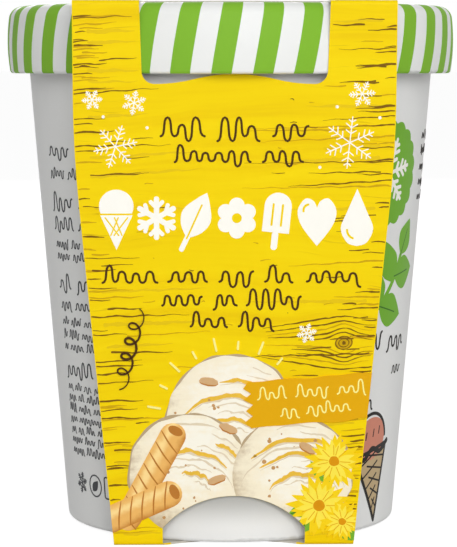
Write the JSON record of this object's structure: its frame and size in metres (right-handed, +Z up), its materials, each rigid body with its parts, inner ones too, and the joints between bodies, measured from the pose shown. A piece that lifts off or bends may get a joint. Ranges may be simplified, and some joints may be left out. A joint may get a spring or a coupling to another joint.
{
  "type": "ice cream bucket",
  "caption": "Shut round paper tub of ice cream with a bulging cap lid, held in a flat cardboard band that has windows over the lid and arches at the foot.",
  "frame": {"origin": "on the ground, at the middle of the underside of the cardboard band's base", "axes": "+Z up, along the tub's axis; -Y to the front panel of the band; +X to the right of someone who looks at the front"},
  "size_m": [0.097, 0.097, 0.1121],
  "materials": {
    "tub_paper": "matt coated white paper with grey and green print",
    "lid_plastic": "satin, green and white slanted stripes",
    "band_board": "matt coated board, yellow painted-wood print outside, plain grey-white inside"
  },
  "bodies": {
    "root": {"tub": "tub_paper", "lid": "lid_plastic", "band": "band_board"}
  },
  "joints": []
}
